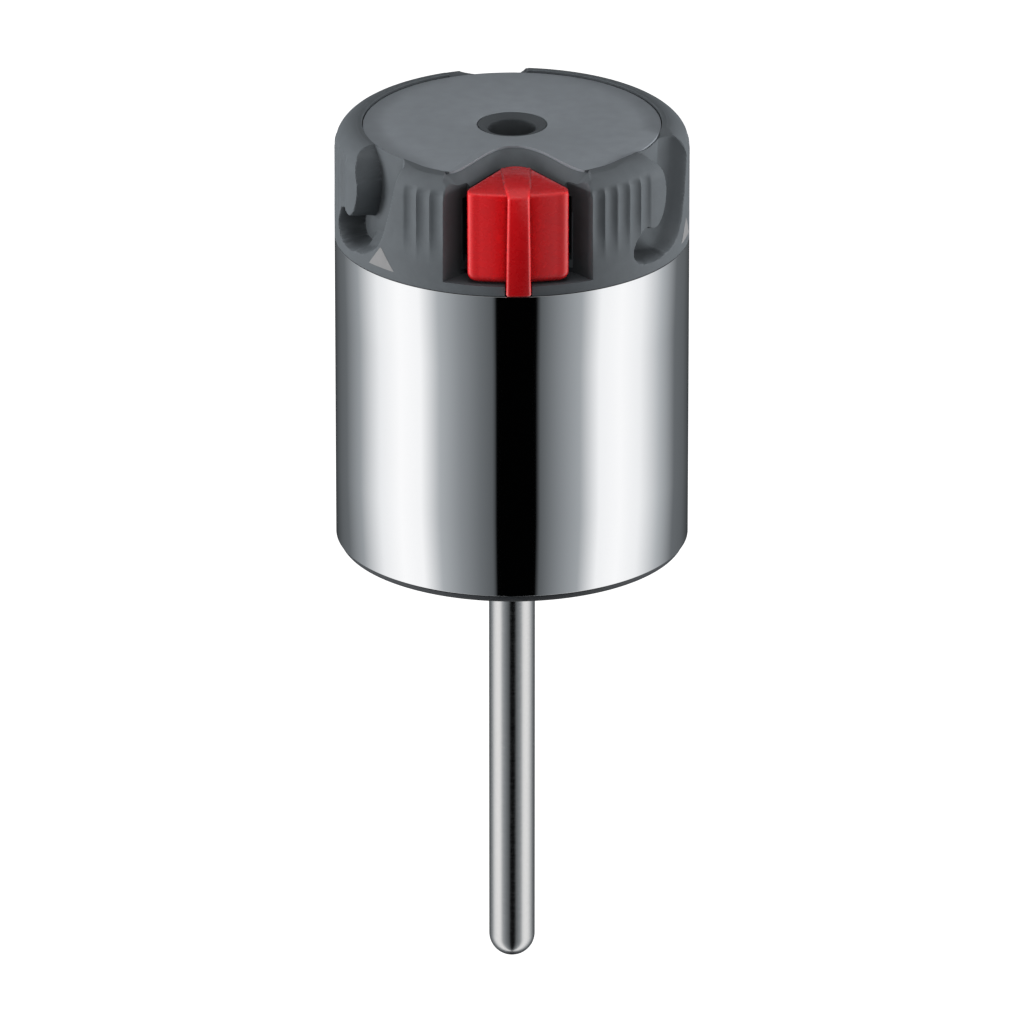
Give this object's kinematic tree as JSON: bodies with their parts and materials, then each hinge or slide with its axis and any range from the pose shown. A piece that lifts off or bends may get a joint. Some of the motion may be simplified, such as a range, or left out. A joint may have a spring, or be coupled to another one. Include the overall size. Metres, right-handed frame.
{
  "type": "probe thermometer head",
  "caption": "Round chrome body with a dark turning cap, a red press latch and a long steel temperature probe below, for sous vide cooking.",
  "frame": {"origin": "centre of the base's underside, on the axis of the body and the probe", "axes": "+Z along the body's axis towards the cap, -Y towards the latch at the front, +X to the right of someone facing the latch"},
  "size_m": [0.061, 0.0618, 0.1559],
  "materials": {
    "chrome": "mirror polished",
    "base_plastic": "fine moulded",
    "probe_steel": "satin",
    "cap_plastic": "fine spark-eroded moulded texture",
    "disc_plastic": "fine spark-eroded moulded texture",
    "latch_plastic": "gloss",
    "mark_plastic": "matt",
    "rubber": "matt",
    "chassis_plastic": "as moulded",
    "bearing_plastic": "as moulded",
    "board": "solder mask",
    "chip_plastic": "as moulded",
    "bright_steel": "bright",
    "brass": "machined",
    "ceramic": "fired",
    "cell_jacket": "printed sleeve, plain",
    "black_wire": "insulation",
    "red_wire": "insulation",
    "magnet": "sintered"
  },
  "bodies": {
    "root": {"body_sleeve": "chrome", "base_cap": "base_plastic", "probe_tube": "probe_steel", "base_seal": "rubber", "probe_seal": "rubber", "chassis": "chassis_plastic", "bearing_bush": "bearing_plastic", "sensor_plug": "bearing_plastic", "contact_board": "board", "main_board": "board", "controller_chip": "chip_plastic", "position_sensor": "chip_plastic", "buzzer": "chip_plastic", "radio_module": "bright_steel", "retaining_ring": "bright_steel", "friction_washer": "bright_steel", "brake_drum": "bright_steel", "base_screw_1": "bright_steel", "base_screw_2": "bright_steel", "base_screw_3": "bright_steel", "cell_spring_1": "bright_steel", "cell_spring_2": "bright_steel", "cell_spring_3": "bright_steel", "upper_contact_1": "bright_steel", "upper_contact_2": "bright_steel", "upper_contact_3": "bright_steel", "probe_nut": "brass", "sensor_bead": "ceramic", "cell_1": "cell_jacket", "cell_2": "cell_jacket", "cell_3": "cell_jacket", "capacitor": "cell_jacket", "sensor_lead": "black_wire", "supply_wire_black": "black_wire", "supply_wire_red": "red_wire", "buzzer_lead": "red_wire"},
    "head": {"turning_cap": "cap_plastic", "top_disc": "disc_plastic", "bore_collar": "cap_plastic", "hub": "bearing_plastic", "magnet_ring": "magnet", "guide_pin_left": "bright_steel", "guide_pin_right": "bright_steel", "latch_spring": "bright_steel", "cap_screw_1": "bright_steel", "cap_screw_2": "bright_steel", "cap_screw_3": "bright_steel", "index_mark_1": "mark_plastic", "index_mark_2": "mark_plastic", "index_mark_3": "mark_plastic"},
    "press": {"latch": "latch_plastic", "brake_pad": "rubber"}
  },
  "joints": [
    {"name": "head_turn", "type": "hinge", "parent": "root", "child": "head", "pos_m": [0, 0, 0.0565], "axis": [0, 0, 1], "range_deg": [-135, 135]},
    {"name": "latch_press", "type": "slide", "parent": "head", "child": "press", "axis": [0, 1, 0], "range_m": [0, 0.0015], "stiffness_N_per_m": 1200, "springref_m": -0.001, "deforming": ["latch_spring"]}
  ]
}
